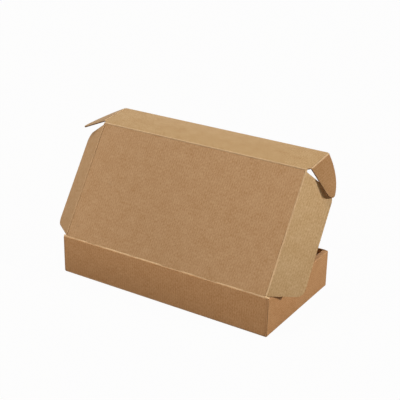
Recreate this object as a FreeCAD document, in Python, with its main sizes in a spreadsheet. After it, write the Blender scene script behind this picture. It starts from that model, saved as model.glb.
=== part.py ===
"""Corrugated mailer box: a tray with rolled end walls and a creased lid with three flaps.

The frame is in millimetres. X runs along the box, the front wall is at -Y, the rear wall with the
lid's crease is at +Y, Z is up, and the origin is the middle of the tray's underside. Left and right
are as seen from the front.
"""

import FreeCAD, Part

import math
import os

import Sketcher

SHEET_NAME = "Sizes"
SIZES = {
    "board": 1.6,  # thickness of the fluted board
    "crease_radius": 0.5,  # inside radius where the board is folded
    "crease_gap": 0.3,  # running gap between two panels at their crease
    "box_length": 310.0,  # outside, along X
    "box_width": 159.5,  # outside, along Y
    "wall_height": 51.6,  # outside, floor to the top of the walls
    "roll_width": 7.4,  # across the flat top of a rolled end wall
    "end_wall_setback": 0.4,  # end wall edge behind the face of the long wall
    "corner_tab_length": 62.0,  # tab trapped in the rolled wall
    "corner_tab_relief": 3.0,  # tab edge below the rolled top and above the floor
    "corner_tab_taper": 5.0,  # how much each tab edge slopes in at its free end
    "corner_tab_round": 4.0,  # corner radius at the free end
    "lock_tab_width": 24.0,  # lock tab of the inner end wall
    "lock_tab_pitch": 78.0,  # distance between the two lock tabs of one wall
    "lock_clearance": 0.4,  # slot edge to lock tab
    "lock_recess": 0.3,  # lock tab end above the underside
    "lid_depth": 159.6,  # lid crease to front flap crease
    "lid_inset": 3.4,  # end flap crease inside the end of the box
    "lid_angle": 56.4,  # lid above the tray's top, in degrees
    "front_flap_depth": 52.0,  # front flap crease to its free edge
    "front_flap_angle": 49.5,  # fold from the lid's plane, in degrees
    "ear_overhang": 0.7,  # ear crease outside the end of the box
    "ear_start": 4.4,  # near edge of the ear from the front flap crease
    "ear_far_inset": 1.0,  # far end of the ear inside the free edge
    "ear_reach": 47.7,  # ear crease to the tip, before rounding
    "ear_sweep": 64.0,  # radius of the ear's curved edge
    "ear_tip_round": 8.0,  # radius of the tip
    "ear_angle_left": 54.0,  # fold from the front flap's plane, in degrees
    "ear_angle_right": 24.0,  # the same on the right, in degrees
    "end_flap_reach": 47.6,  # end flap crease to its free edge, at the rear
    "end_flap_relief": 2.0,  # how much narrower the flap is at the front
    "end_flap_rear_gap": 1.4,  # flap's rear corner from the lid crease
    "end_flap_front_gap": 2.2,  # flap's front corner from the front flap crease
    "end_flap_slope": 16.0,  # slope of the flap's two short edges, in degrees
    "end_flap_rear_round": 12.0,  # radius of its free corner at the rear
    "end_flap_front_round": 16.0,  # radius of its free corner at the front
    "end_flap_angle_left": 52.0,  # fold from the lid's plane, in degrees
    "end_flap_angle_right": 36.0,  # the same on the right, in degrees
}

SIDES = (1, -1)
SAME_PLACE = 1e-4


class Size:
    """A number kept together with the sheet formula that gives it."""

    def __init__(self, number, formula):
        self.number = number
        self.formula = formula

    def combine(self, other, sign, number):
        """A size worked out from this one and another, or from this one and a plain factor."""
        right = other.formula if isinstance(other, Size) else repr(float(other))
        return Size(number, f"({self.formula} {sign} {right})")

    def __add__(self, other):
        return self.combine(other, "+", self.number + value(other))

    def __sub__(self, other):
        return self.combine(other, "-", self.number - value(other))

    def __mul__(self, factor):
        return self.combine(factor, "*", self.number * value(factor))

    def __truediv__(self, divisor):
        return self.combine(divisor, "/", self.number / value(divisor))


def value(size):
    """The plain number of a size or of a number."""
    return size.number if isinstance(size, Size) else float(size)


def make_sheet(doc):
    """The driving sizes, one cell each."""
    sheet = doc.addObject("Spreadsheet::Sheet", SHEET_NAME)
    for row, (name, number) in enumerate(SIZES.items(), start=1):
        cell = f"A{row}"
        sheet.set(cell, str(number))
        sheet.setAlias(cell, name)
    doc.recompute()
    return {name: Size(float(sheet.get(name)), f"{SHEET_NAME}.{name}") for name in SIZES}


def slope_of(angle):
    """The tangent of a size that is an angle in degrees."""
    return Size(math.tan(math.radians(angle.number)), f"tan({angle.formula} * 1 deg)")


def bind(thing, name, size):
    """Set a property to a size's number and tie it to the sheet."""
    setattr(thing, name, value(size))
    if isinstance(size, Size):
        thing.setExpression(name, size.formula)


def origin_plane(body, role):
    """One of the body's own three planes."""
    return next(plane for plane in body.Origin.OriginFeatures if plane.Role == role)


def new_sketch(body, name, role, lift=None):
    """An empty sketch on one of the body's planes, raised by lift along the plane's normal."""
    sketch = body.newObject("Sketcher::SketchObject", name)
    sketch.AttachmentSupport = [(origin_plane(body, role), "")]
    sketch.MapMode = "FlatFace"
    if lift is not None:
        sketch.setExpression("AttachmentOffset.Base.z", lift.formula)
    return sketch


def bind_constraint(sketch, kind, places, size):
    """Add one measured constraint and tie it to the sheet."""
    index = sketch.addConstraint(Sketcher.Constraint(kind, *places, value(size)))
    if isinstance(size, Size):
        name = f"size_{index}"
        sketch.renameConstraint(index, name)
        sketch.setExpression(f"Constraints.{name}", size.formula)


def bind_point(sketch, geometry, end, x, y):
    """Hold one end of a line, or a point, at x and y from the sketch's origin."""
    bind_constraint(sketch, "DistanceX", (-1, 1, geometry, end), x)
    bind_constraint(sketch, "DistanceY", (-1, 1, geometry, end), y)


def round_corner(before, corner, after, radius):
    """Where a corner's arc touches its two sides, its centre, and whether it turns left."""
    backward = (before - corner).normalize()
    forward = (after - corner).normalize()
    half = backward.getAngle(forward) / 2
    reach = radius / math.tan(half)
    middle = (backward + forward).normalize() * (radius / math.sin(half))
    turns_left = backward.cross(forward).z < 0
    return corner + backward * reach, corner + forward * reach, corner + middle, turns_left


def add_outline(sketch, corners):
    """A closed outline. Each corner is (x, y) or (x, y, radius), in order round the shape."""
    points = [FreeCAD.Vector(value(c[0]), value(c[1]), 0) for c in corners]
    count = len(corners)
    starts, ends, arcs = list(points), list(points), {}
    for i, corner in enumerate(corners):
        if len(corner) == 3:
            arrive, leave, centre, turns_left = round_corner(
                points[i - 1], points[i], points[(i + 1) % count], value(corner[2])
            )
            ends[i], starts[i] = arrive, leave
            arcs[i] = (centre, turns_left)
    lines = [
        sketch.addGeometry(Part.LineSegment(starts[i], ends[(i + 1) % count])) for i in range(count)
    ]
    for i, corner in enumerate(corners):
        arriving, leaving = lines[i - 1], lines[i]
        if i not in arcs:
            sketch.addConstraint(Sketcher.Constraint("Coincident", arriving, 2, leaving, 1))
            bind_point(sketch, leaving, 1, corner[0], corner[1])
            continue
        centre, turns_left = arcs[i]
        first, last = (ends[i], starts[i]) if turns_left else (starts[i], ends[i])
        circle = Part.Circle(centre, FreeCAD.Vector(0, 0, 1), value(corner[2]))
        arc = sketch.addGeometry(
            Part.ArcOfCircle(circle, circle.parameter(first), circle.parameter(last))
        )
        near, far = (1, 2) if turns_left else (2, 1)
        point = sketch.addGeometry(Part.Point(points[i]), True)
        bind_point(sketch, point, 1, corner[0], corner[1])
        sketch.addConstraint(Sketcher.Constraint("PointOnObject", point, 1, arriving))
        sketch.addConstraint(Sketcher.Constraint("PointOnObject", point, 1, leaving))
        sketch.addConstraint(Sketcher.Constraint("Tangent", arriving, 2, arc, near))
        sketch.addConstraint(Sketcher.Constraint("Tangent", arc, far, leaving, 1))
        bind_constraint(sketch, "Radius", (arc,), corner[2])


def pad(body, name, sketch, length, midplane=True):
    """Give a sketch thickness, half each way or along its normal."""
    feature = body.newObject("PartDesign::Pad", name)
    feature.Profile = sketch
    feature.Midplane = midplane
    bind(feature, "Length", length)
    return feature


def pocket(body, name, sketch, depth):
    """Cut a sketch along its normal, to a depth."""
    feature = body.newObject("PartDesign::Pocket", name)
    feature.Profile = sketch
    feature.Reversed = True
    bind(feature, "Length", depth)
    return feature


def box_corners(x_low, x_high, y_low, y_high):
    """The four corners of a rectangle."""
    return [(x_low, y_low), (x_high, y_low), (x_high, y_high), (x_low, y_high)]


def end_wall_section(s):
    """Floor and both rolled end walls as one strip: out along the floor, up, over and down inside."""
    board, height = s["board"], s["wall_height"]
    bend_in, bend_out = s["crease_radius"], s["crease_radius"] + board
    outer = s["box_length"] / 2
    inner = outer - s["roll_width"]
    foot = board + s["crease_gap"]
    right = [
        (outer, 0, bend_out),
        (outer, height, bend_out),
        (inner, height, bend_out),
        (inner, foot),
        (inner + board, foot),
        (inner + board, height - board, bend_in),
        (outer - board, height - board, bend_in),
        (outer - board, board, bend_in),
    ]
    left = [(x * -1, *rest) for x, *rest in reversed(right)]
    return right + left


def long_wall_section(s):
    """Floor, front wall and rear wall as one strip. The rear wall stops below the lid's crease."""
    board, height = s["board"], s["wall_height"]
    bend_in, bend_out = s["crease_radius"], s["crease_radius"] + board
    half = s["box_width"] / 2
    rear_top = height - s["crease_gap"]
    return [
        (half * -1, 0, bend_out),
        (half, 0, bend_out),
        (half, rear_top),
        (half - board, rear_top),
        (half - board, board, bend_in),
        (board - half, board, bend_in),
        (board - half, height),
        (half * -1, height),
    ]


def make_tray(doc, s):
    """The tray: one folded sheet."""
    body = doc.addObject("PartDesign::Body", "tray")
    board, gap, height = s["board"], s["crease_gap"], s["wall_height"]
    bend_out = s["crease_radius"] + board
    turn = bend_out + gap
    half_length, half_width = s["box_length"] / 2, s["box_width"] / 2
    inner = half_length - s["roll_width"]
    tab_outer = half_length - board - gap

    sketch = new_sketch(body, "end_wall_section", "XZ_Plane")
    add_outline(sketch, end_wall_section(s))
    pad(body, "floor_and_end_walls", sketch, s["box_width"] - s["end_wall_setback"] * 2)

    roll_end = half_width - turn - gap
    sketch = new_sketch(body, "roll_end_notches", "XY_Plane", board)
    for side in SIDES:
        for end in SIDES:
            x_range = sorted([(inner - board) * side, (half_length - board) * side], key=value)
            y_range = sorted([roll_end * end, (half_width + board) * end], key=value)
            add_outline(sketch, box_corners(*x_range, *y_range))
    pocket(body, "roll_ends", sketch, height)

    sketch = new_sketch(body, "long_wall_section", "YZ_Plane")
    add_outline(sketch, long_wall_section(s))
    pad(body, "floor_and_long_walls", sketch, (tab_outer - turn) * 2)

    sketch = new_sketch(body, "corner_bend_outlines", "XY_Plane", bend_out)
    for side in SIDES:
        for end in SIDES:
            corners = corner_bend(s, tab_outer, half_width, turn)
            placed = [(x * side, y * end, *rest) for x, y, *rest in corners]
            add_outline(sketch, placed if side == end else placed[::-1])
    pad(body, "corner_bends", sketch, height - gap - bend_out, midplane=False)

    add_corner_tabs(body, s, tab_outer, half_width - turn)
    add_lock_tabs(body, s, inner)
    return body


def add_corner_tabs(body, s, tab_outer, root):
    """The four tabs that the rolled end walls trap."""
    board = s["board"]
    for side in SIDES:
        name = "right" if side > 0 else "left"
        lift = tab_outer - board if side > 0 else tab_outer * -1
        sketch = new_sketch(body, f"corner_tab_outlines_{name}", "YZ_Plane", lift)
        for end in SIDES:
            placed = [(y * end, *rest) for y, *rest in corner_tab(s, root)]
            add_outline(sketch, placed if end > 0 else placed[::-1])
        pad(body, f"corner_tabs_{name}", sketch, board, midplane=False)


def add_lock_tabs(body, s, inner):
    """The tabs that hold each inner end wall down, and the slots that they stand in."""
    board, gap, clearance = s["board"], s["crease_gap"], s["lock_clearance"]
    tab_half = s["lock_tab_width"] / 2
    recess = s["lock_recess"]

    sketch = new_sketch(body, "lock_slots", "XY_Plane")
    add_lock_outlines(sketch, s, (inner - clearance, inner + board + clearance), tab_half + clearance)
    pocket(body, "floor_slots", sketch, board + gap / 2)

    sketch = new_sketch(body, "lock_tab_outlines", "XY_Plane", recess)
    add_lock_outlines(sketch, s, (inner, inner + board), tab_half)
    pad(body, "lock_tabs", sketch, board + gap - recess, midplane=False)


def add_lock_outlines(sketch, s, x_range, half):
    """The same rectangle at each of the four lock tabs."""
    for side in SIDES:
        for end in SIDES:
            middle = s["lock_tab_pitch"] / 2 * end
            placed = sorted([x * side for x in x_range], key=value)
            add_outline(sketch, box_corners(*placed, middle - half, middle + half))


def corner_bend(s, tab_outer, half_width, turn):
    """Where a long wall's end turns the vertical corner into its tab, seen from above."""
    board = s["board"]
    bend_in, bend_out = s["crease_radius"], s["crease_radius"] + board
    return [
        (tab_outer - turn, half_width - board),
        (tab_outer - board, half_width - board, bend_in),
        (tab_outer - board, half_width - turn),
        (tab_outer, half_width - turn),
        (tab_outer, half_width, bend_out),
        (tab_outer - turn, half_width),
    ]


def corner_tab(s, root):
    """A tapered tab that lies between the two layers of a rolled end wall, as (y, z) corners."""
    low = s["board"] + s["corner_tab_relief"]
    high = s["wall_height"] - s["board"] - s["corner_tab_relief"]
    tip = s["box_width"] / 2 - s["corner_tab_length"]
    taper, rounding = s["corner_tab_taper"], s["corner_tab_round"]
    return [
        (root, high),
        (tip, high - taper, rounding),
        (tip, low + taper, rounding),
        (root, low),
    ]


def add_crease_edge(body, s, name, role, length, start=None):
    """The half-round edge that a panel turns on. It is centred on the crease's axis."""
    radius = s["board"] / 2
    sketch = new_sketch(body, f"{name}_section", role, start)
    number = radius.number
    top, bottom = FreeCAD.Vector(0, number, 0), FreeCAD.Vector(0, -number, 0)
    circle = Part.Circle(FreeCAD.Vector(), FreeCAD.Vector(0, 0, 1), number)
    arc = sketch.addGeometry(Part.ArcOfCircle(circle, math.pi / 2, 3 * math.pi / 2))
    line = sketch.addGeometry(Part.LineSegment(bottom, top))
    sketch.addConstraint(Sketcher.Constraint("Coincident", arc, 3, -1, 1))
    sketch.addConstraint(Sketcher.Constraint("Coincident", arc, 2, line, 1))
    sketch.addConstraint(Sketcher.Constraint("Coincident", arc, 1, line, 2))
    sketch.addConstraint(Sketcher.Constraint("PointOnObject", arc, 1, -2))
    sketch.addConstraint(Sketcher.Constraint("PointOnObject", arc, 2, -2))
    bind_constraint(sketch, "Radius", (arc,), radius)
    edge = pad(body, name, sketch, length, midplane=start is None)
    edge.Reversed = role == "XZ_Plane"
    return edge


def lid_half_span(s):
    """Half the lid panel, up to the gap before the end flap's crease axis."""
    return end_crease(s) - s["board"] / 2 - s["crease_gap"]


def end_crease(s):
    """Distance of an end flap's crease axis from the middle of the lid."""
    return s["box_length"] / 2 - s["lid_inset"] - s["board"] / 2


def ear_crease(s):
    """Distance of an ear's crease axis from the middle of the front flap."""
    return s["box_length"] / 2 + s["ear_overhang"] - s["board"] / 2


def make_lid(doc, s):
    """The lid panel. Its own frame has the crease along X and the panel along Y."""
    body = doc.addObject("PartDesign::Body", "lid_panel")
    span = lid_half_span(s)
    far = s["lid_depth"] - s["board"] / 2 - s["crease_gap"]
    sketch = new_sketch(body, "panel_outline", "XY_Plane")
    add_outline(sketch, box_corners(span * -1, span, 0, far))
    pad(body, "panel", sketch, s["board"])
    add_crease_edge(body, s, "crease_edge", "YZ_Plane", span * 2)
    return body


def make_front_flap(doc, s):
    """The tuck flap. It widens from the lid's width to the ears' creases."""
    body = doc.addObject("PartDesign::Body", "front_flap")
    root, span = lid_half_span(s), ear_crease(s) - s["board"] / 2 - s["crease_gap"]
    start, far = s["ear_start"], s["front_flap_depth"]
    outline = [
        (root * -1, 0),
        (root, 0),
        (span, start),
        (span, far),
        (span * -1, far),
        (span * -1, start),
    ]
    sketch = new_sketch(body, "flap_outline", "XY_Plane")
    add_outline(sketch, outline)
    pad(body, "flap", sketch, s["board"])
    add_crease_edge(body, s, "crease_edge", "YZ_Plane", root * 2)
    return body


def make_end_flap(doc, s, name):
    """An end flap of the lid. Its own frame has the crease along Y and the flap along X."""
    body = doc.addObject("PartDesign::Body", name)
    rear, front = s["end_flap_rear_gap"], s["lid_depth"] - s["end_flap_front_gap"]
    slope, rear_reach = slope_of(s["end_flap_slope"]), s["end_flap_reach"]
    front_reach = rear_reach - s["end_flap_relief"]
    outline = [
        (0, rear),
        (rear_reach, rear + rear_reach * slope, s["end_flap_rear_round"]),
        (front_reach, front - front_reach * slope, s["end_flap_front_round"]),
        (0, front),
    ]
    sketch = new_sketch(body, "flap_outline", "XY_Plane")
    add_outline(sketch, outline)
    pad(body, "flap", sketch, s["board"])
    add_crease_edge(body, s, "crease_edge", "XZ_Plane", front - rear, rear * -1)
    return body


def make_ear(doc, s, name):
    """A rounded ear of the front flap. Its own frame has the crease along Y and the ear along X."""
    body = doc.addObject("PartDesign::Body", name)
    near, far = s["ear_start"], s["front_flap_depth"] - s["ear_far_inset"]
    reach, sweep = s["ear_reach"], s["ear_sweep"]
    sketch = new_sketch(body, "ear_outline", "XY_Plane")
    heel = FreeCAD.Vector(0, near.number, 0)
    tip = FreeCAD.Vector(reach.number, near.number, 0)
    top = FreeCAD.Vector(0, far.number, 0)
    chord = top - tip
    height = math.sqrt(sweep.number**2 - chord.Length**2 / 4)
    toward_middle = FreeCAD.Vector(-chord.y, chord.x, 0).normalize()
    centre = (tip + top) * 0.5 + toward_middle * height
    circle = Part.Circle(centre, FreeCAD.Vector(0, 0, 1), sweep.number)
    edge = sketch.addGeometry(Part.LineSegment(heel, tip))
    arc = sketch.addGeometry(Part.ArcOfCircle(circle, circle.parameter(tip), circle.parameter(top)))
    root = sketch.addGeometry(Part.LineSegment(top, heel))
    sketch.addConstraint(Sketcher.Constraint("Coincident", edge, 2, arc, 1))
    sketch.addConstraint(Sketcher.Constraint("Coincident", arc, 2, root, 1))
    sketch.addConstraint(Sketcher.Constraint("Coincident", root, 2, edge, 1))
    bind_point(sketch, edge, 1, 0, near)
    bind_point(sketch, edge, 2, reach, near)
    bind_point(sketch, root, 1, 0, far)
    bind_constraint(sketch, "Radius", (arc,), sweep)
    ear = pad(body, "ear", sketch, s["board"])
    doc.recompute()
    tip_round = body.newObject("PartDesign::Fillet", "tip_round")
    tip_round.Base = (ear, [upright_edge_at(ear.Shape, tip)])
    bind(tip_round, "Radius", s["ear_tip_round"])
    add_crease_edge(body, s, "crease_edge", "XZ_Plane", far - near, near * -1)
    return body


def upright_edge_at(shape, place):
    """The name of the straight edge that stands across the board at a place."""
    for number, edge in enumerate(shape.Edges, start=1):
        centre = edge.CenterOfMass
        if math.hypot(centre.x - place.x, centre.y - place.y) < SAME_PLACE:
            return f"Edge{number}"
    raise ValueError("no edge stands there")


def place_panels(bodies, s):
    """Stand the lid open on its crease, and fold each flap on the panel that carries it."""
    across, along = FreeCAD.Vector(1, 0, 0), FreeCAD.Vector(0, 1, 0)
    half_board = s["board"].number / 2
    hinge = FreeCAD.Vector(
        0, s["box_width"].number / 2 - half_board, s["wall_height"].number + half_board
    )
    lid = FreeCAD.Placement(hinge, FreeCAD.Rotation(across, 180 - s["lid_angle"].number))
    fold = FreeCAD.Rotation(across, s["front_flap_angle"].number)
    front = lid * FreeCAD.Placement(FreeCAD.Vector(0, s["lid_depth"].number, 0), fold)
    bodies["lid_panel"].Placement = lid
    bodies["front_flap"].Placement = front
    carriers = (
        ("lid_end_flap", lid, end_crease(s).number, "end_flap_angle"),
        ("front_flap_ear", front, ear_crease(s).number, "ear_angle"),
    )
    for name, carrier, offset, angle_name in carriers:
        right = FreeCAD.Rotation(along, -s[f"{angle_name}_right"].number)
        left = FreeCAD.Rotation(along, 180 + s[f"{angle_name}_left"].number)
        at_right, at_left = FreeCAD.Vector(offset, 0, 0), FreeCAD.Vector(-offset, 0, 0)
        bodies[f"{name}_right"].Placement = carrier * FreeCAD.Placement(at_right, right)
        bodies[f"{name}_left"].Placement = carrier * FreeCAD.Placement(at_left, left)


def build():
    """The whole box as one document, and its bodies by name."""
    doc = FreeCAD.newDocument("mailer_box")
    s = make_sheet(doc)
    bodies = {
        "tray": make_tray(doc, s),
        "lid_panel": make_lid(doc, s),
        "front_flap": make_front_flap(doc, s),
    }
    for side in ("left", "right"):
        bodies[f"lid_end_flap_{side}"] = make_end_flap(doc, s, f"lid_end_flap_{side}")
        bodies[f"front_flap_ear_{side}"] = make_ear(doc, s, f"front_flap_ear_{side}")
    place_panels(bodies, s)
    doc.recompute()
    return doc, bodies


def check(doc, bodies):
    """Stop unless every feature was made and every panel is one sound solid."""
    failed = [o.Label for o in doc.Objects if "Invalid" in o.State or "Error" in o.State]
    if failed:
        raise RuntimeError(f"features failed: {failed}")
    for name, body in bodies.items():
        shape = body.Shape
        if shape.isNull() or not shape.isValid() or len(shape.Solids) != 1:
            raise RuntimeError(f"{name} is not one sound solid")


def main():
    """Build the box and write each panel's shape."""
    doc, bodies = build()
    check(doc, bodies)
    os.makedirs("parts", exist_ok=True)
    for name, body in bodies.items():
        body.Shape.exportStep(os.path.join("parts", f"{name}.step"))
        print(f"{name}: {body.Shape.Volume:.0f} cubic mm, {len(body.Shape.Faces)} faces")


main()
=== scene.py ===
"""Looks of the open corrugated mailer box: kraft board, soft edges, flutes and pressed creases.

Everything is in metres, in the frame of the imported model: X along the box, the rear wall with the
lid's crease at +Y, Z up. Left and right are as seen from the front of the box.
"""

import logging
import math
from dataclasses import dataclass, field, replace
from enum import Enum, IntEnum

import bmesh
import bpy
from mathutils import Matrix, Vector


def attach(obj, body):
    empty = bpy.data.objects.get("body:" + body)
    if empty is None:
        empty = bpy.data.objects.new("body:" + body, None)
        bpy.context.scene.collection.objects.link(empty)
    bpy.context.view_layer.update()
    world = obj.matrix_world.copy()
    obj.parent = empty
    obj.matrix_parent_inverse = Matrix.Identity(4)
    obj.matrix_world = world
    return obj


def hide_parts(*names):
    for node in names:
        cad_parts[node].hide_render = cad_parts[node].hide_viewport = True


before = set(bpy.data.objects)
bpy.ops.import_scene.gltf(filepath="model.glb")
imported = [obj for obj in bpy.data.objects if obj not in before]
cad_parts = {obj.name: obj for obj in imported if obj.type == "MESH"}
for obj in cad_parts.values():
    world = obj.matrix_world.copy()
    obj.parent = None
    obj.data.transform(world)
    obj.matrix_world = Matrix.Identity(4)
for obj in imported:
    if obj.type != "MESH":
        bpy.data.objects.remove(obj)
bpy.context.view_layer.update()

LOG = logging.getLogger("mailer_box")
MM = 0.001
BOARD = 1.6 * MM
FLUTE_PITCH = 3.3 * MM
FLUTE_TURN = 2 * math.pi / FLUTE_PITCH
UV_NAME = "board"

# How far apart two corners may lie to be one, and how far a face may turn and still be flat.
WELD = 0.001 * MM
FLAT_TURN = math.radians(0.5)

# The turn of an edge that bounds a cut, that takes a soft edge, and that a fold stays under.
SHARP_EDGE = math.radians(60)
SOFTENED_EDGE = math.radians(50)
FOLD_STEP = math.radians(40)

# How much of a direction points one way: half, for the most part, nearly, or all but exactly.
HALF = 0.5
MOSTLY = 0.7
NEARLY = 0.9
EXACTLY = 0.99

# The middle of a noise's range, and the parts of it that patterns are drawn from.
MIDDLE = 0.5
WIDE = (0.2, 0.8)
NARROW = (0.3, 0.7)

Colour = tuple[float, float, float]
Range = tuple[float, float]


class Skin(IntEnum):
    """The kinds of surface on a piece of board, in the order of its material slots."""

    OUTSIDE = 0
    INSIDE = 1
    FOLD = 2
    CUT_ACROSS = 3
    CUT_ALONG = 4
    # Scuffed fold paper with a bright painted highlight along the crease.
    PALE_FOLD = 5


class Side(Enum):
    """The two ends of the box, as seen from its front."""

    LEFT = -1
    RIGHT = 1


def linear(red: int, green: int, blue: int) -> Colour:
    """Turn a colour as it looks on a screen into the linear colour that shaders take.

    Args:
        red: Red from 0 to 255.
        green: Green from 0 to 255.
        blue: Blue from 0 to 255.

    Returns:
        The three linear parts, from 0 to 1.
    """
    parts = [channel / 255 for channel in (red, green, blue)]
    return tuple(
        part / 12.92 if part <= 0.04045 else ((part + 0.055) / 1.055) ** 2.4 for part in parts
    )


def unit(x: float, y: float, z: float) -> Vector:
    """Give a direction of length one.

    Args:
        x: Its part along the box.
        y: Its part to the rear.
        z: Its part upwards.

    Returns:
        The direction.
    """
    return Vector((x, y, z)).normalized()


def at(x: float, y: float, z: float) -> Vector:
    """Give a point in metres from its millimetres.

    Args:
        x: Millimetres along the box.
        y: Millimetres to the rear.
        z: Millimetres upwards.

    Returns:
        The point.
    """
    return Vector((x, y, z)) * MM


class NodeSheet:
    """The node tree of a material or of the world, with short ways to add and join nodes."""

    def __init__(self, owner: bpy.types.Material | bpy.types.World) -> None:
        """Start with an empty tree.

        Args:
            owner: The material or the world that the tree belongs to.
        """
        owner.use_nodes = True
        self.owner = owner
        self.tree = owner.node_tree
        self.tree.nodes.clear()

    def add(self, kind: str, inputs: dict | None = None, **settings: object) -> bpy.types.Node:
        """Add a node.

        Args:
            kind: Blender's name of the node type.
            inputs: Values or outputs for its sockets, by socket name or number.
            **settings: The node's own settings, such as operation.

        Returns:
            The new node.
        """
        node = self.tree.nodes.new(kind)
        for key, value in settings.items():
            setattr(node, key, value)
        for key, value in (inputs or {}).items():
            if isinstance(value, bpy.types.NodeSocket):
                self.tree.links.new(value, node.inputs[key])
            else:
                node.inputs[key].default_value = value
        return node

    def math(self, operation: str, *values: object) -> bpy.types.NodeSocket:
        """Work out one sum, product or other operation on numbers and outputs.

        Args:
            operation: The name of the operation, such as ADD.
            *values: Its numbers or outputs, in order.

        Returns:
            The result's output.
        """
        node = self.add("ShaderNodeMath", dict(enumerate(values)), operation=operation)
        return node.outputs[0]

    def ramp(self, value: object, source: Range, result: Range) -> bpy.types.NodeSocket:
        """Map a value smoothly from one range to another.

        Args:
            value: The output to map.
            source: The range that the value comes from.
            result: What the two ends of that range become.

        Returns:
            The mapped output.
        """
        sockets = dict(enumerate((value, *source, *result)))
        node = self.add("ShaderNodeMapRange", sockets, interpolation_type="SMOOTHSTEP")
        return node.outputs[0]

    def mix(self, share: object, first: object, second: object,
            blend: str = "MIX") -> bpy.types.NodeSocket:
        """Mix two colours.

        Args:
            share: How much of the second colour there is, from 0 to 1.
            first: The first colour, or its output.
            second: The second colour, or its output.
            blend: The way to mix, such as MULTIPLY.

        Returns:
            The mixed colour's output.
        """
        node = self.add("ShaderNodeMix", {0: share}, data_type="RGBA", blend_type=blend)
        for socket, colour in ((node.inputs[6], first), (node.inputs[7], second)):
            if isinstance(colour, bpy.types.NodeSocket):
                self.tree.links.new(colour, socket)
            else:
                socket.default_value = (*colour, 1.0)
        return node.outputs[2]

    def noise(self, place: object, scale: float, detail: float = 2.0,
              rough: float = 0.5) -> bpy.types.NodeSocket:
        """Add a noise pattern.

        Args:
            place: The output that gives the place.
            scale: How many features there are in a metre.
            detail: How many finer layers there are.
            rough: How strong the finer layers are.

        Returns:
            The noise's strength, from 0 to 1.
        """
        sockets = {"Vector": place, "Scale": scale, "Detail": detail, "Roughness": rough}
        return self.add("ShaderNodeTexNoise", sockets).outputs[0]

    def place(self) -> bpy.types.NodeSocket:
        """Give the place in space.

        Returns:
            The place's output, in metres.
        """
        return self.add("ShaderNodeTexCoord").outputs["Object"]

    def board_place(self) -> bpy.types.NodeSocket:
        """Give the place on the board: across the flutes, then along them or through the board.

        Returns:
            The place's output.
        """
        return self.add("ShaderNodeUVMap", uv_map=UV_NAME).outputs[0]

    def bump(self, height: object, strength: float, distance: float) -> bpy.types.NodeSocket:
        """Bend the surface's normals by a pattern of heights.

        Args:
            height: The pattern's output.
            strength: How much of the bend shows, from 0 to 1.
            distance: How high the pattern's highest places are.

        Returns:
            The output of the bent normals.
        """
        sockets = {"Strength": strength, "Distance": distance, "Height": height}
        return self.add("ShaderNodeBump", sockets).outputs[0]

    def surface(self, colour: object, rough: object, normal: object,
                gloss: float) -> bpy.types.Material:
        """Finish the material as dull paper.

        Args:
            colour: The output of the paper's colour.
            rough: The output of its roughness.
            normal: The output of its bent normals.
            gloss: How much it mirrors.

        Returns:
            The finished material.
        """
        shader = self.add("ShaderNodeBsdfPrincipled", {
            "Base Color": colour, "Roughness": rough, "Normal": normal,
            "Specular IOR Level": gloss})
        return self.finish(shader)

    def finish(self, shader: bpy.types.Node) -> bpy.types.Material | bpy.types.World:
        """Join a shader to the tree's surface.

        Args:
            shader: The node that gives the shader.

        Returns:
            The finished material or world.
        """
        kind = "World" if isinstance(self.owner, bpy.types.World) else "Material"
        output = self.add(f"ShaderNodeOutput{kind}")
        self.tree.links.new(shader.outputs[0], output.inputs["Surface"])
        return self.owner


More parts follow.
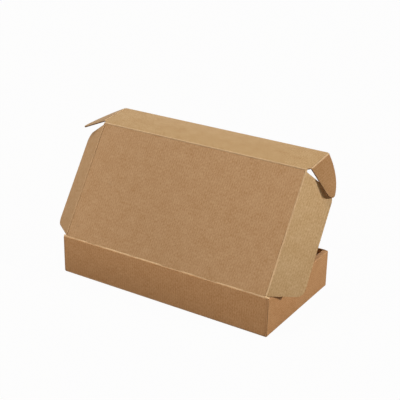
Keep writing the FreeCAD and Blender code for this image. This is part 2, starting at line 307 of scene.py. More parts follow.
@dataclass(frozen=True)
class KraftLiner:
    """Brown kraft paper on the face of fluted board: fibres, flecks, clouds and faint ribs.

    A scale counts the features in a metre. A share says how strongly a pattern shows.
    """

    name: str
    brown: Colour
    swing: float = 0.15
    shade_weights: tuple[float, float, float] = (1.0, 1.5, 2.25)
    fibre_scale: float = 780.0
    fibre_share: float = 1.6
    fibre_stretch: tuple[float, float, float] = (1.0, 0.42, 1.0)
    fine_scale: float = 2300.0
    fine_share: float = 0.5
    cloud_scale: float = 75.0
    cloud_share: float = 0.5
    rib_share: float = 0.07
    rib_height: float = 0.5
    fleck: Colour = linear(112, 80, 50)
    fleck_scale: float = 950.0
    fleck_noise: Range = (0.72, 0.80)
    fleck_cover: Range = (0.0, 0.5)
    roughness: Range = (0.90, 0.78)
    gloss: float = 0.12
    relief: float = 0.25
    relief_height: float = 0.05 * MM

    def shade(self, amount: float) -> Colour:
        """Give the paper's colour made lighter or darker; blue moves most and red least.

        Args:
            amount: How much lighter, or darker where it is below zero.

        Returns:
            The changed colour.
        """
        return tuple(part * (1 + amount * weight)
                     for part, weight in zip(self.brown, self.shade_weights))

    def material(self) -> bpy.types.Material:
        """Build the paper's material.

        Returns:
            The finished material.
        """
        sheet = NodeSheet(bpy.data.materials.new(self.name))
        uv = sheet.board_place()
        place = sheet.place()
        along = sheet.add("ShaderNodeMapping", {0: uv, 3: self.fibre_stretch}).outputs[0]
        fibre = sheet.noise(along, self.fibre_scale, detail=2.0, rough=0.6)
        fine = sheet.noise(along, self.fine_scale, detail=2.0, rough=0.6)
        cloud = sheet.noise(place, self.cloud_scale, detail=3.0, rough=0.55)
        across = sheet.add("ShaderNodeSeparateXYZ", {0: uv}).outputs[0]
        rib = sheet.math("SINE", sheet.math("MULTIPLY", across, FLUTE_TURN))
        tone = sheet.math("MULTIPLY_ADD", rib, self.rib_share, MIDDLE)
        patterns = ((fibre, self.fibre_share), (cloud, self.cloud_share), (fine, self.fine_share))
        for noise, share in patterns:
            centred = sheet.math("SUBTRACT", noise, MIDDLE)
            tone = sheet.math("MULTIPLY_ADD", centred, share, tone)
        colour = sheet.mix(sheet.ramp(tone, (0.0, 1.0), (0.0, 1.0)), self.shade(-self.swing),
                           self.shade(self.swing))
        dots = sheet.noise(place, self.fleck_scale, detail=1.0, rough=0.4)
        flecks = sheet.ramp(dots, self.fleck_noise, self.fleck_cover)
        colour = sheet.mix(flecks, colour, self.fleck)
        height = sheet.math("MULTIPLY_ADD", rib, self.rib_height, fine)
        normal = sheet.bump(height, self.relief, self.relief_height)
        rough = sheet.ramp(fine, WIDE, self.roughness)
        return sheet.surface(colour, rough, normal, self.gloss)


@dataclass(frozen=True)
class PressedFold:
    """Kraft paper stretched and scuffed over a fold, paler from that wear and a painted highlight.
    """

    name: str
    brown: Colour
    scuff: Colour
    wear_scale: float = 210.0
    wear_cover: Range = (0.25, 1.0)
    wear_height: float = 0.8
    fibre_scale: float = 1100.0
    fibre_tone: Range = (0.93, 1.07)
    roughness: Range = (0.74, 0.86)
    gloss: float = 0.25
    relief: float = 0.4
    relief_height: float = 0.08 * MM

    def material(self) -> bpy.types.Material:
        """Build the fold's material.

        Returns:
            The finished material.
        """
        sheet = NodeSheet(bpy.data.materials.new(self.name))
        place = sheet.place()
        wear = sheet.noise(place, self.wear_scale, detail=3.0, rough=0.6)
        fibre = sheet.noise(place, self.fibre_scale, detail=2.0, rough=0.6)
        scuffs = sheet.ramp(wear, NARROW, self.wear_cover)
        colour = sheet.mix(scuffs, self.brown, self.scuff)
        tone = sheet.ramp(fibre, WIDE, self.fibre_tone)
        colour = sheet.mix(1.0, colour, tone, "MULTIPLY")
        height = sheet.math("ADD", fibre, sheet.math("MULTIPLY", wear, self.wear_height))
        normal = sheet.bump(height, self.relief, self.relief_height)
        rough = sheet.ramp(wear, NARROW, self.roughness)
        return sheet.surface(colour, rough, normal, self.gloss)


@dataclass(frozen=True)
class CutEdge:
    """A cut through fluted board: two liners, and the wave of the medium with painted shade in the
    cavities between.

    Shares are of the board's thickness.
    """

    name: str
    paper: Colour
    painted_hollow_shade: Colour
    liner_share: float = 0.11
    liner_blend: float = 0.03
    medium_share: float = 0.085
    medium_blend: Range = (0.8, 1.3)
    fray_scale: float = 1600.0
    fray_tone: Range = (0.82, 1.12)
    roughness: Range = (0.86, 0.96)
    gloss: float = 0.2
    relief: float = 0.8
    relief_height: float = 0.35 * MM

    def material(self) -> bpy.types.Material:
        """Build the cut's material from its place across the flutes and through the board.

        Returns:
            The finished material.
        """
        sheet = NodeSheet(bpy.data.materials.new(self.name))
        uv = sheet.board_place()
        parts = sheet.add("ShaderNodeSeparateXYZ", {0: uv})
        turn = sheet.math("MULTIPLY", parts.outputs[0], FLUTE_TURN)
        reach = 0.5 - self.liner_share - self.medium_share / 2
        wave = sheet.math("MULTIPLY", sheet.math("SINE", turn), reach)
        through = parts.outputs[1]
        off_wave = sheet.math("ABSOLUTE", sheet.math("SUBTRACT", through, wave))
        medium_rim = tuple(self.medium_share * part for part in self.medium_blend)
        medium = sheet.ramp(off_wave, medium_rim, (1.0, 0.0))
        inner = 0.5 - self.liner_share
        liner_rim = (inner - self.liner_blend, inner)
        liner = sheet.ramp(sheet.math("ABSOLUTE", through), liner_rim, (0.0, 1.0))
        solid = sheet.math("MAXIMUM", medium, liner)
        frayed = sheet.noise(sheet.place(), self.fray_scale, detail=2.0, rough=0.6)
        # Paper where the liners and the medium lie, painted shade in the cavities between the
        # flutes.
        colour = sheet.mix(solid, self.painted_hollow_shade, self.paper)
        tone = sheet.ramp(frayed, WIDE, self.fray_tone)
        colour = sheet.mix(1.0, colour, tone, "MULTIPLY")
        height = sheet.math("ADD", solid, frayed)
        normal = sheet.bump(height, self.relief, self.relief_height)
        rough = sheet.ramp(frayed, WIDE, self.roughness)
        return sheet.surface(colour, rough, normal, self.gloss)


@dataclass(frozen=True)
class Finishes:
    """The papers, folds and cuts of the board, and how a panel gets paper tinted as painted light
    or shade.
    """

    outside: KraftLiner = KraftLiner("kraft_outside", linear(192, 155, 112))
    inside: KraftLiner = KraftLiner("kraft_inside", linear(188, 152, 111))
    # Fold colours: real scuffing of the stretched paper plus a painted highlight along the crease,
    # strongest in the bright fold, weakest in the faint fold and the tray's.
    fold: PressedFold = PressedFold("kraft_fold", linear(204, 172, 128), linear(224, 194, 148))
    pale_fold: PressedFold = PressedFold(
        "kraft_pale_fold", linear(240, 204, 152), linear(252, 222, 174))
    scuffed_faint_highlight_fold: PressedFold = PressedFold(
        "kraft_soft_fold", linear(190, 155, 112), linear(202, 168, 124))
    # Each cut's second colour is the painted shade in its flute cavities; the tray's is lighter.
    cut_across: CutEdge = CutEdge("cut_across_flutes", linear(178, 141, 101), linear(104, 76, 50))
    cut_along: CutEdge = CutEdge("cut_along_flutes", linear(188, 150, 108), linear(140, 106, 74))
    tray_fold: PressedFold = PressedFold(
        "kraft_tray_fold", linear(192, 148, 102), linear(205, 162, 115))
    tray_cut: CutEdge = CutEdge("cut_edge_tray", linear(182, 145, 104), linear(150, 116, 81))
    # The tray's tint is painted shade, redder and less blue, standing in for the warm shade on its
    # walls.
    tray_painted_shade_tint: Colour = (1.02, 0.93, 0.84)

    def materials(self) -> list[bpy.types.Material]:
        """Build the materials that the panels share.

        Returns:
            The materials, in the order of the Skin numbers.
        """
        finishes = (self.outside, self.inside, self.fold, self.cut_across, self.cut_along,
                    self.pale_fold)
        return [finish.material() for finish in finishes]

    def with_painted_light_tint(self, skins: list[bpy.types.Material], name: str,
                   tint: Colour) -> list[bpy.types.Material]:
        """Give a panel a copy of the outer paper tinted as painted light or shade; share the rest.

        Args:
            skins: The materials that the panels share.
            name: What the tinted copy is called.
            tint: How much redder, greener or bluer the paper is, as shares; it paints in light or
                shade.

        Returns:
            The panel's materials.
        """
        brown = tuple(part * share for part, share in zip(self.outside.brown, tint))
        return [replace(self.outside, name=name, brown=brown).material(), *skins[1:]]

    def tray_materials(self, skins: list[bpy.types.Material]) -> list[bpy.types.Material]:
        """Give the tray paper tinted redder as painted shade, its darker folds and its paler cuts.

        Args:
            skins: The materials that the panels share.

        Returns:
            The tray's materials, in the order of the Skin numbers.
        """
        # The tray's paper copy, tinted as painted shade.
        own = self.with_painted_light_tint(skins, "kraft_tray", self.tray_painted_shade_tint)
        own[Skin.FOLD] = self.tray_fold.material()
        own[Skin.CUT_ACROSS] = self.tray_cut.material()
        return own


def select_only(piece: bpy.types.Object) -> None:
    """Deselect everything, then select one piece and make it active.

    Args:
        piece: The piece to select.
    """
    bpy.ops.object.select_all(action="DESELECT")
    piece.select_set(True)
    bpy.context.view_layer.objects.active = piece


def add_modifier(piece: bpy.types.Object, kind: str, **settings: object) -> None:
    """Add one modifier to a piece and apply it at once.

    Args:
        piece: The piece to change.
        kind: Blender's name of the modifier type.
        **settings: The modifier's settings.
    """
    select_only(piece)
    modifier = piece.modifiers.new(kind.lower(), kind)
    for key, value in settings.items():
        setattr(modifier, key, value)
    bpy.ops.object.modifier_apply(modifier=modifier.name)


def smooth(piece: bpy.types.Object, degrees: float = 35.0) -> None:
    """Shade a piece smooth, but keep its corners sharp.

    Args:
        piece: The piece to shade.
        degrees: The angle from which an edge stays sharp.
    """
    select_only(piece)
    bpy.ops.object.shade_smooth_by_angle(angle=math.radians(degrees))


def hand_in(piece: bpy.types.Object, body: str, nodes: tuple[str, ...] = ()) -> None:
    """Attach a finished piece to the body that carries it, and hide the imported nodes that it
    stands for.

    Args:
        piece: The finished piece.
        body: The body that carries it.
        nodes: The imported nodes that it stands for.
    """
    if nodes:
        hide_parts(*nodes)
    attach(piece, body)
    LOG.info("%s: %d faces on %s", piece.name, len(piece.data.polygons), body)


@dataclass
class BoardPiece:
    """One panel of the sheet, with soft edges, its flutes' direction and its kinds of surface."""

    node: str
    body: str
    along: Vector
    outward: Vector
    middle: Vector
    soft_edge: float = 0.22 * MM
    cut_slack: float = 1.08
    skins: list[bpy.types.Material] = field(default_factory=list)

    def copy_node(self) -> bpy.types.Object:
        """Copy the node's mesh into a new piece and join its loose triangles into flat faces.

        Returns:
            The new piece.
        """
        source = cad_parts[self.node]
        piece = bpy.data.objects.new(f"{self.node}_board", source.data.copy())
        bpy.context.scene.collection.objects.link(piece)
        piece.data.materials.clear()
        for skin in self.skins:
            piece.data.materials.append(skin)
        select_only(piece)
        bpy.ops.mesh.customdata_custom_splitnormals_clear()
        bpy.ops.object.mode_set(mode="EDIT")
        bpy.ops.mesh.select_all(action="SELECT")
        bpy.ops.mesh.remove_doubles(threshold=WELD)
        bpy.ops.mesh.dissolve_limited(angle_limit=FLAT_TURN)
        bpy.ops.mesh.normals_make_consistent(inside=False)
        bpy.ops.object.mode_set(mode="OBJECT")
        return piece

    def grain(self, normal: Vector) -> tuple[Vector, Vector]:
        """Give the directions across and along the flutes on a face.

        Args:
            normal: The face's normal; not used here.

        Returns:
            The direction across the flutes, and the one along them.
        """
        return self.along.cross(self.outward), self.along

    def is_cut(self, face: bmesh.types.BMFace) -> bool:
        """Tell whether a face is a cut through the board, not one of its papers.

        Args:
            face: The face to look at.

        Returns:
            Whether sharp edges a board's thickness apart bound it.
        """
        rim = sum(edge.calc_length() for edge in face.edges
                  if edge.is_manifold and edge.calc_face_angle(0.0) > SHARP_EDGE)
        return rim > 0 and 2 * face.calc_area() / rim < BOARD * self.cut_slack

    def depth(self, loop: bmesh.types.BMLoop) -> float:
        """Tell how far through the board a corner of a cut lies.

        Args:
            loop: The corner of the face.

        Returns:
            The depth, from -0.5 at the inner paper to 0.5 at the outer one.
        """
        return (loop.vert.co - self.middle).dot(self.outward) / BOARD

    def sort_faces(self, mesh: bmesh.types.BMesh) -> None:
        """Give each face its kind of surface and its place on the board.

        Args:
            mesh: The open mesh of the piece.
        """
        layer = mesh.loops.layers.uv.get(UV_NAME) or mesh.loops.layers.uv.new(UV_NAME)
        for face in mesh.faces:
            across, along = self.grain(face.normal)
            facing = face.normal.dot(self.outward)
            if self.is_cut(face) and abs(facing) < HALF:
                closed = abs(face.normal.dot(across)) > NEARLY
                face.material_index = Skin.CUT_ALONG if closed else Skin.CUT_ACROSS
                for loop in face.loops:
                    loop[layer].uv = (loop.vert.co.dot(across), self.depth(loop))
                continue
            paper = Skin.OUTSIDE if facing > 0 else Skin.INSIDE
            face.material_index = paper if abs(facing) > EXACTLY else Skin.FOLD
            for loop in face.loops:
                loop[layer].uv = (loop.vert.co.dot(across), loop.vert.co.dot(along))

    def build(self) -> bpy.types.Object:
        """Make the piece, sort its faces, soften its edges and attach it to its body.

        Returns:
            The finished piece.
        """
        piece = self.copy_node()
        mesh = bmesh.new()
        mesh.from_mesh(piece.data)
        mesh.normal_update()
        self.sort_faces(mesh)
        mesh.to_mesh(piece.data)
        mesh.free()
        add_modifier(piece, "BEVEL", width=self.soft_edge, segments=2, limit_method="ANGLE",
                     angle_limit=SOFTENED_EDGE, use_clamp_overlap=True)
        smooth(piece)
        hand_in(piece, self.body, (self.node,))
        return piece


@dataclass
class Tray(BoardPiece):
    """The folded tray: floor, walls, rolled ends, and the tabs trapped in them."""

    node: str = "tray"
    body: str = "tray"
    along: Vector = field(default_factory=lambda: unit(0, 1, 0))
    outward: Vector = field(default_factory=lambda: unit(0, 0, -1))
    middle: Vector = field(default_factory=lambda: at(0, 0, 0.8))
    crease_top: float = 51.2 * MM
    rear_top: float = 77.5 * MM
    rounded_rise: float = 0.05
    flat_share: float = 0.995

    def grain(self, normal: Vector) -> tuple[Vector, Vector]:
        """Give the directions across and along the flutes on a face of the tray.

        Args:
            normal: The face's normal.

        Returns:
            The direction across the flutes, and the one along them.
        """
        if abs(normal.y) > MOSTLY:
            return unit(1, 0, 0), unit(0, 0, 1)
        if abs(normal.x) > MOSTLY:
            return unit(0, 0, 1), unit(0, 1, 0)
        return unit(1, 0, 0), unit(0, 1, 0)

    def outer_paper(self, mesh: bmesh.types.BMesh, cuts: set[int]) -> set[int]:
        """Find the faces that lie on the outer paper, by walking over the folds from the outermost.

        Args:
            mesh: The open mesh of the piece.
            cuts: The numbers of the faces that are cuts.

        Returns:
            The numbers of the faces on the outer paper.
        """
        queue = [min(mesh.faces, key=lambda face: face.calc_center_median().z),
                 min(mesh.faces, key=lambda face: face.calc_center_median().y),
                 max(mesh.faces, key=lambda face: face.calc_center_median().y)]
        seen = {face.index for face in queue}
        while queue:
            face = queue.pop()
            for edge in face.edges:
                for other in edge.link_faces:
                    if other.index in seen or other.index in cuts:
                        continue
                    if edge.calc_face_angle(0.0) < FOLD_STEP:
                        seen.add(other.index)
                        queue.append(other)
        return seen

    def sort_faces(self, mesh: bmesh.types.BMesh) -> None:
        """Give each face of the tray its kind of surface and its place on the board.

        Args:
            mesh: The open mesh of the piece.
        """
        layer = mesh.loops.layers.uv.get(UV_NAME) or mesh.loops.layers.uv.new(UV_NAME)
        middles = {face.index: face.calc_center_median() for face in mesh.faces}
        cuts = {face.index for face in mesh.faces if self.is_cut(face)}
        cuts |= {index for index, middle in middles.items()
                 if middle.z > self.crease_top and middle.y > self.rear_top}
        outer = self.outer_paper(mesh, cuts)
        for face in mesh.faces:
            if face.index in cuts:
                behind = middles[face.index].y > self.rear_top
                rounded = behind and face.normal.z > self.rounded_rise
                self.lay_cut(face, layer, outer, rounded)
                continue
            flat = max(abs(part) for part in face.normal) > self.flat_share
            paper = Skin.OUTSIDE if face.index in outer else Skin.INSIDE
            face.material_index = paper if flat else Skin.FOLD
            across, along = self.grain(face.normal)
            for loop in face.loops:
                loop[layer].uv = (loop.vert.co.dot(across), loop.vert.co.dot(along))

    def lay_cut(self, face: bmesh.types.BMFace, layer: object, outer: set[int],
                rounded: bool) -> None:
        """Give a cut of the tray its kind of surface and its place on the board.

        Args:
            face: The cut.
            layer: Where the mesh keeps its places on the board.
            outer: The numbers of the faces on the outer paper.
            rounded: Whether it is the rear wall's rounded top, which the lid's crease presses and
                which takes the bright painted highlight.
        """
        open_flutes = abs(face.normal.x) < MOSTLY
        face.material_index = Skin.CUT_ACROSS if open_flutes else Skin.CUT_ALONG
        # The rear wall's rounded top takes the scuffed paper with the bright painted highlight.
        if rounded:
            face.material_index = Skin.PALE_FOLD
        for loop in face.loops:
            near = {other.index for other in loop.vert.link_faces}
            rise = loop.vert.co.z if abs(face.normal.y) > MOSTLY else 0
            loop[layer].uv = (loop.vert.co.x + rise, 0.5 if near & outer else -0.5)


@dataclass
class Crease:
    """The ridge that the paper makes along a fold between two panels.

    Each tip says how much its end is drawn in and how many radii it reaches out. Each swell says
    how much the ridge thickens, as a share, and over what length. An edge longer than long_edge of
    the ridge runs along it.
    """

    name: str
    body: str
    middle: Vector
    direction: Vector
    length: float
    skin: bpy.types.Material
    radius: float = 1.12 * MM
    step: float = 7 * MM
    sides: int = 14
    long_edge: float = 0.8
    tips: tuple[tuple[float, float], ...] = ((0.82, 0.35), (0.6, 0.2))
    swells: tuple[tuple[float, float], ...] = ((0.035, 9.3 * MM), (0.025, 3.7 * MM))
    drift: float = 0.03 * MM
    drift_waves: tuple[float, float] = (31 * MM, 23 * MM)

    def build(self) -> bpy.types.Object:
        """Shape the ridge from a thin rod: round its ends, crush it a little, and attach it to its
        body.

        Returns:
            The finished ridge.
        """
        bpy.ops.object.select_all(action="DESELECT")
        turn = self.direction.to_track_quat("Z", "Y")
        bpy.ops.mesh.primitive_cylinder_add(
            vertices=self.sides, radius=self.radius, depth=self.length, location=self.middle,
            rotation=turn.to_euler())
        ridge = bpy.context.object
        ridge.name = self.name
        bpy.ops.object.transform_apply(location=True, rotation=True, scale=True)
        self.round_ends(ridge)
        self.crush(ridge)
        ridge.data.materials.append(self.skin)
        self.lay_grain(ridge)
        smooth(ridge, 60)
        hand_in(ridge, self.body)
        return ridge

    def spokes(self) -> tuple[Vector, Vector]:
        """Give two directions square to the ridge and to each other.

        Returns:
            The two directions.
        """
        side = self.direction.orthogonal().normalized()
        return side, self.direction.cross(side)

    def round_ends(self, ridge: bpy.types.Object) -> None:
        """Draw each end of the ridge in to a blunt tip.

        Args:
            ridge: The ridge to shape.
        """
        bpy.ops.object.mode_set(mode="EDIT")
        bpy.ops.mesh.select_mode(type="FACE")
        for sign in (1, -1):
            bpy.ops.mesh.select_all(action="DESELECT")
            mesh = bmesh.from_edit_mesh(ridge.data)
            for face in mesh.faces:
                face.select = face.normal.dot(self.direction) * sign > NEARLY
            bmesh.update_edit_mesh(ridge.data)
            tip = self.middle + self.direction * sign * self.length / 2
            for scale, out in self.tips:
                bpy.ops.mesh.extrude_region_move(TRANSFORM_OT_translate={
                    "value": self.direction * sign * self.radius * out})
                bpy.ops.transform.resize(value=(scale, scale, scale), center_override=tip)
        bpy.ops.object.mode_set(mode="OBJECT")

    def lay_grain(self, ridge: bpy.types.Object) -> None:
        """Give each corner of a face its place round the ridge and along it, in metres.

        Args:
            ridge: The ridge to map.
        """
        layer = ridge.data.uv_layers.active or ridge.data.uv_layers.new()
        layer.name = UV_NAME
        side, other = self.spokes()
        for loop in ridge.data.loops:
            spoke = ridge.data.vertices[loop.vertex_index].co - self.middle
            turn = abs(math.atan2(spoke.dot(side), spoke.dot(other)))
            layer.data[loop.index].uv = (turn * self.radius, spoke.dot(self.direction))

    def crush(self, ridge: bpy.types.Object) -> None:
        """Divide the ridge along its length and push its rings a little off the line.

        Args:
            ridge: The ridge to shape.
        """
        bpy.ops.object.mode_set(mode="EDIT")
        bpy.ops.mesh.select_mode(type="EDGE")
        bpy.ops.mesh.select_all(action="DESELECT")
        mesh = bmesh.from_edit_mesh(ridge.data)
        for edge in mesh.edges:
            edge.select = edge.calc_length() > self.length * self.long_edge
        bmesh.update_edit_mesh(ridge.data)
        bpy.ops.mesh.subdivide(number_cuts=max(1, int(self.length / self.step)))
        bpy.ops.object.mode_set(mode="OBJECT")
        side, other = self.spokes()
        wave, other_wave = self.drift_waves
        for vertex in ridge.data.vertices:
            run = (vertex.co - self.middle).dot(self.direction)
            spoke = vertex.co - self.middle - self.direction * run
            swell = 1 + sum(share * math.sin(run / length) for share, length in self.swells)
            drift = side * math.sin(run / wave) + other * math.cos(run / other_wave)
            vertex.co = (self.middle + self.direction * run + spoke * swell
                         + drift * self.drift)


@dataclass
class TrayCorners:
    """The folded vertical corners of the tray, where the long walls turn into the rolled ends."""

    skin: bpy.types.Material
    reach: float = 153.45 * MM
    face: float = 78.14 * MM
    low: float = 0.95 * MM
    high: float = 51.0 * MM
    radius: float = 1.48 * MM

    def build(self) -> None:
        """Make the four ridges that fill the grooves at the corners."""
        middle = (self.low + self.high) / 2
        for side in Side:
            for name, wall in (("rear", 1), ("front", -1)):
                Crease(f"tray_corner_{name}_{side.name.lower()}", "tray",
                       Vector((self.reach * side.value, self.face * wall, middle)),
                       unit(0, 0, 1), self.high - self.low, self.skin, self.radius).build()


@dataclass
class Lid:
    """The lid with its front flap, two end flaps and two ears, and the creases between them.

    Angles are in degrees. A slack is how much shorter a ridge is than the panel it runs along.
    """

    finishes: Finishes
    skins: list[bpy.types.Material]
    hinge: Vector = field(default_factory=lambda: at(0, 78.95, 52.4))
    lean: float = 33.6
    flap_rise: float = 6.9
    depth: float = 159.6 * MM
    flap_depth: float = 52.0 * MM
    end_crease: float = 150.8 * MM
    ear_crease: float = 154.9 * MM
    end_angles: dict[Side, float] = field(
        default_factory=lambda: {Side.LEFT: 52.0, Side.RIGHT: 36.0})
    ear_angles: dict[Side, float] = field(
        default_factory=lambda: {Side.LEFT: 54.0, Side.RIGHT: 24.0})
    # Outer paper tints, one per panel: painted light on the front flap and left end flap, painted
    # shade on the right end flap and both ears.
    papers: dict[str, Colour] = field(default_factory=lambda: {
        "front_flap": (1.06, 1.16, 1.14),
        "lid_end_flap_left": (1.14, 1.28, 1.30),
        "lid_end_flap_right": (0.86, 0.88, 0.88),
        "front_flap_ear_left": (0.78, 0.73, 0.65),
        "front_flap_ear_right": (0.85, 0.93, 1.0)})
    hinge_ridge: float = 308.6 * MM
    hinge_ridge_shift: Vector = field(default_factory=lambda: at(0, -0.40, 0.12))
    front_ridge: float = 302.6 * MM
    end_ridge_slack: float = 2.8 * MM
    end_ridge_lift: float = 0.14 * MM
    ear_ridge_start: float = 4.9 * MM
    ear_ridge_slack: float = 8.4 * MM

    def __post_init__(self) -> None:
        """Work out the directions of the lid and the front flap, and where they meet."""
        lean, rise = math.radians(self.lean), math.radians(self.flap_rise)
        self.slope = unit(0, -math.sin(lean), math.cos(lean))
        self.outward = unit(0, math.cos(lean), math.sin(lean))
        self.flap_slope = unit(0, -math.cos(rise), math.sin(rise))
        self.flap_outward = unit(0, math.sin(rise), math.cos(rise))
        self.front_crease = self.hinge + self.slope * self.depth

    def paper(self, node: str) -> list[bpy.types.Material]:
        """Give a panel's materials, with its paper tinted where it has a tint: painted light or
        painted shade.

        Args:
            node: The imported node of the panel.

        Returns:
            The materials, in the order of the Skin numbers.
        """
        if node not in self.papers:
            return self.skins
        # A copy of the paper tinted as painted light or shade for this panel.
        return self.finishes.with_painted_light_tint(self.skins, f"kraft_{node}", self.papers[node])

    def build_panel(self) -> None:
        """Dress the lid's top panel, with scuffed paper and a bright painted highlight where it
        bends into its creases.
        """
        skins = list(self.paper("lid_panel"))
        skins[Skin.FOLD] = skins[Skin.PALE_FOLD]
        BoardPiece("lid_panel", "lid", self.slope, self.outward, self.hinge, skins=skins).build()

    def build_front_flap(self) -> None:
        """Dress the tuck flap at the front of the lid."""
        BoardPiece("front_flap", "front_flap", self.flap_slope, self.flap_outward,
                   self.front_crease, skins=self.paper("front_flap")).build()

    def build_end_flap(self, side: Side) -> None:
        """Dress one of the two end flaps.

        Args:
            side: The end of the box that it is on.
        """
        name = side.name.lower()
        angle = math.radians(self.end_angles[side])
        level = Vector((side.value, 0, 0))
        outward = level * math.sin(angle) + self.outward * math.cos(angle)
        node = f"lid_end_flap_{name}"
        BoardPiece(node, f"end_flap_{name}", self.slope, outward,
                   self.hinge + level * self.end_crease, skins=self.paper(node)).build()

    def build_ear(self, side: Side) -> None:
        """Dress one of the two ears of the front flap.

        Args:
            side: The end of the box that it is on.
        """
        name = side.name.lower()
        angle = math.radians(self.ear_angles[side])
        level = Vector((side.value, 0, 0))
        outward = level * math.sin(angle) + self.flap_outward * math.cos(angle)
        node = f"front_flap_ear_{name}"
        BoardPiece(node, f"ear_{name}", self.flap_slope, outward,
                   self.front_crease + level * self.ear_crease, skins=self.paper(node)).build()

    def build_side_creases(self, side: Side, end_skin: bpy.types.Material,
                           ear_skin: bpy.types.Material) -> None:
        """Make the ridges along the end flap's crease and the ear's crease.

        Args:
            side: The end of the box that they are on.
            end_skin: The material of the end flap's ridge.
            ear_skin: The material of the ear's ridge.
        """
        name = side.name.lower()
        level = Vector((side.value, 0, 0))
        lean = math.radians(self.end_angles[side]) / 2
        lift = (level * math.sin(lean) + self.outward * math.cos(lean)) * self.end_ridge_lift
        middle = self.hinge + level * self.end_crease + self.slope * self.depth / 2 + lift
        Crease(f"end_flap_crease_ridge_{name}", "lid", middle, self.slope,
               self.depth - self.end_ridge_slack, end_skin).build()
        run = self.flap_depth - self.ear_ridge_slack
        middle = self.front_crease + level * self.ear_crease
        middle = middle + self.flap_slope * (self.ear_ridge_start + run / 2)
        Crease(f"ear_crease_ridge_{name}", "front_flap", middle, self.flap_slope, run,
               ear_skin).build()

    def build_creases(self) -> None:
        """Make the six ridges that run along the creases."""
        fold = self.skins[Skin.FOLD]
        soft = self.finishes.scuffed_faint_highlight_fold.material()
        level = unit(1, 0, 0)
        # The hinge ridge takes the bright painted highlight, the right end flap's ridge the faint
        # one, the other ridges the middle one.
        Crease("lid_crease_ridge", "tray", self.hinge + self.hinge_ridge_shift, level,
               self.hinge_ridge, self.skins[Skin.PALE_FOLD]).build()
        Crease("front_flap_crease_ridge", "lid", self.front_crease, level, self.front_ridge,
               fold).build()
        self.build_side_creases(Side.LEFT, fold, fold)
        self.build_side_creases(Side.RIGHT, soft, fold)

    def build(self) -> None:
        """Build every part of the lid."""
        self.build_panel()
        self.build_front_flap()
        for side in Side:
            self.build_end_flap(side)
            self.build_ear(side)
        self.build_creases()


@dataclass(frozen=True)
class Softbox:
    """One soft studio lamp that looks at the box."""

    name: str
    place: tuple[float, float, float]
    size: float
    power: float
    colour: Colour = (1.0, 0.926, 0.908)
    target: tuple[float, float, float] = (0.0, 0.0, 0.08)

    def build(self) -> None:
        """Hang the lamp and turn it to the box."""
        bpy.ops.object.light_add(type="AREA", location=self.place)
        lamp = bpy.context.object
        lamp.name = self.name
        lamp.data.shape = "DISK"
        lamp.data.size = self.size
        lamp.data.energy = self.power
        lamp.data.color = self.colour
        aim = Vector(self.target) - Vector(self.place)
        lamp.rotation_euler = aim.to_track_quat("-Z", "Y").to_euler()


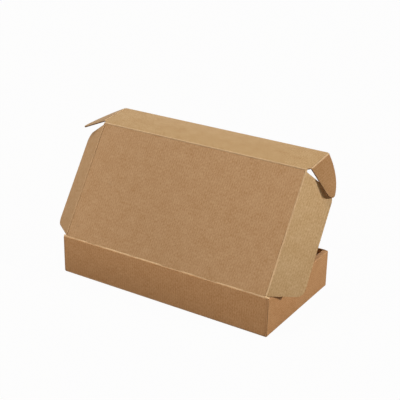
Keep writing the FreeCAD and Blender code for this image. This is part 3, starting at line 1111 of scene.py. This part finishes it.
@dataclass
class Studio:
    """The floor and surroundings, which look white, and the soft lamps."""

    floor_size: float = 12.0
    floor_drop: float = 0.4 * MM
    floor_colour: Colour = (0.42, 0.39, 0.36)
    floor_patches: float = 3.0
    floor_tone: Range = (0.985, 1.0)
    shadow_share: float = 0.03
    white: Colour = (1.0, 1.0, 1.0)
    sky: Colour = (1.0, 0.92, 0.84)
    sky_power: float = 0.01
    lamps: tuple[Softbox, ...] = (
        Softbox("lamp_top", (0.0, 1.11, 8.0), 1.6, 152.0),
        Softbox("lamp_top_front", (0.0, -1.11, 8.0), 1.6, 91.0),
        Softbox("lamp_rear", (3.98, 6.38, 2.82), 1.6, 290.0),
        Softbox("lamp_left", (-7.35, -1.56, 2.82), 0.8, 393.0),
        Softbox("lamp_right", (6.69, -1.79, 4.08), 2.6, 128.0),
        Softbox("lamp_front", (3.9, -6.8, 1.7), 1.6, 120.0),
    )

    def seen_directly(self, sheet: NodeSheet) -> bpy.types.NodeSocket:
        """Tell rays that look, mirror or pass through from rays that only carry light.

        Args:
            sheet: The node tree to add to.

        Returns:
            One for a ray that shows the background, and zero for any other.
        """
        path = sheet.add("ShaderNodeLightPath")
        seen = sheet.math("ADD", path.outputs["Is Camera Ray"], path.outputs["Is Glossy Ray"])
        seen = sheet.math("ADD", seen, path.outputs["Is Transmission Ray"])
        return sheet.math("MINIMUM", seen, 1.0)

    def build_floor(self) -> None:
        """Lay the floor, which looks white but keeps the box's shadow."""
        bpy.ops.object.select_all(action="DESELECT")
        bpy.ops.mesh.primitive_plane_add(
            size=self.floor_size, location=(0, 0, -self.floor_drop))
        floor = bpy.context.object
        floor.name = "studio_floor"
        sheet = NodeSheet(bpy.data.materials.new("studio_white"))
        patches = sheet.noise(sheet.place(), self.floor_patches)
        tone = sheet.ramp(patches, NARROW, self.floor_tone)
        colour = sheet.mix(1.0, self.floor_colour, tone, "MULTIPLY")
        matt = sheet.add("ShaderNodeBsdfDiffuse", {"Color": colour})
        white = sheet.add("ShaderNodeEmission", {"Strength": 1.0})
        share = sheet.math("MULTIPLY", self.seen_directly(sheet), 1 - self.shadow_share)
        both = sheet.add(
            "ShaderNodeMixShader", {0: share, 1: matt.outputs[0], 2: white.outputs[0]})
        floor.data.materials.append(sheet.finish(both))

    def build_world(self) -> None:
        """Set the even light from all round, and the white that the camera sees."""
        world = bpy.data.worlds.new("studio_world")
        bpy.context.scene.world = world
        sheet = NodeSheet(world)
        soft = sheet.add("ShaderNodeBackground", {0: (*self.sky, 1.0), 1: self.sky_power})
        white = sheet.add("ShaderNodeBackground", {0: (*self.white, 1.0), 1: 1.0})
        both = sheet.add("ShaderNodeMixShader", {
            0: self.seen_directly(sheet), 1: soft.outputs[0], 2: white.outputs[0]})
        sheet.finish(both)

    def build(self) -> None:
        """Build the floor, the surroundings and the lamps."""
        self.build_floor()
        self.build_world()
        for lamp in self.lamps:
            lamp.build()


@dataclass
class Viewpoint:
    """The camera, behind and above the box, as in the photograph."""

    place: Vector = field(default_factory=lambda: Vector((-0.63373, 0.99443, 0.61239)))
    forward: Vector = field(default_factory=lambda: unit(0.49076659, -0.77917363, -0.38991872))
    roll: float = math.radians(1.0178)
    lens: float = 89.58
    sensor: float = 36.0
    nearest: float = 0.05

    def build(self) -> None:
        """Make the camera, turn it, and make it the scene's own."""
        bpy.ops.object.camera_add()
        camera = bpy.context.object
        camera.name = "photo_camera"
        level = self.forward.cross(unit(0, 0, 1)).normalized()
        top = level.cross(self.forward)
        right = level * math.cos(self.roll) + top * math.sin(self.roll)
        up = top * math.cos(self.roll) - level * math.sin(self.roll)
        turn = Matrix((right, up, -self.forward)).transposed()
        camera.matrix_world = Matrix.Translation(self.place) @ turn.to_4x4()
        camera.data.sensor_width = self.sensor
        camera.data.lens = self.lens
        camera.data.clip_start = self.nearest
        bpy.context.scene.camera = camera


def main() -> None:
    """Build the box, the studio and the camera, in order."""
    logging.basicConfig(level=logging.INFO, format="%(name)s: %(message)s")
    bpy.context.scene.view_settings.view_transform = "Standard"
    finishes = Finishes()
    skins = finishes.materials()
    tray_skins = finishes.tray_materials(skins)
    Tray(skins=tray_skins).build()
    TrayCorners(tray_skins[Skin.OUTSIDE]).build()
    Lid(finishes, skins).build()
    Studio().build()
    Viewpoint().build()


if __name__ == "__main__":
    main()
